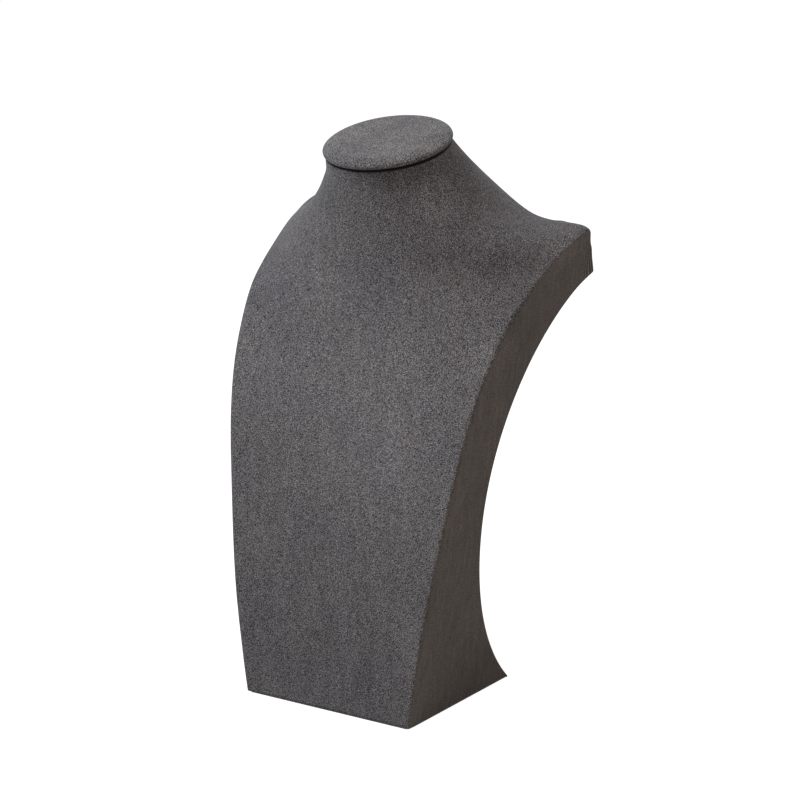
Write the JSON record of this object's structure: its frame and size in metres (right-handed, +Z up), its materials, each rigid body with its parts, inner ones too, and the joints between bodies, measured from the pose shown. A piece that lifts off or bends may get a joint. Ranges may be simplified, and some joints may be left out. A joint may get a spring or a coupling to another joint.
{
  "type": "necklace stand",
  "caption": "Necklace display stand: a bust of neck, shoulders and chest wrapped in charcoal microfibre, with a round leaning cap and a hollow back.",
  "frame": {"origin": "centre of the flat foot, on the surface that the stand stands on", "axes": "+Z up through the neck, -Y to the front where the chest faces, +X to the viewer's right from the front"},
  "size_m": [0.1928, 0.1392, 0.3358],
  "materials": {
    "microfibre": "soft brushed nap",
    "filler": "raw fibreboard",
    "foam": "open foam"
  },
  "bodies": {
    "root": {"core": "filler", "front_cover": "microfibre", "back_cover": "microfibre", "bottom_sheet": "microfibre", "neck_cap_board": "filler", "neck_cap_pad": "foam", "neck_cap_cover": "microfibre"}
  },
  "joints": []
}
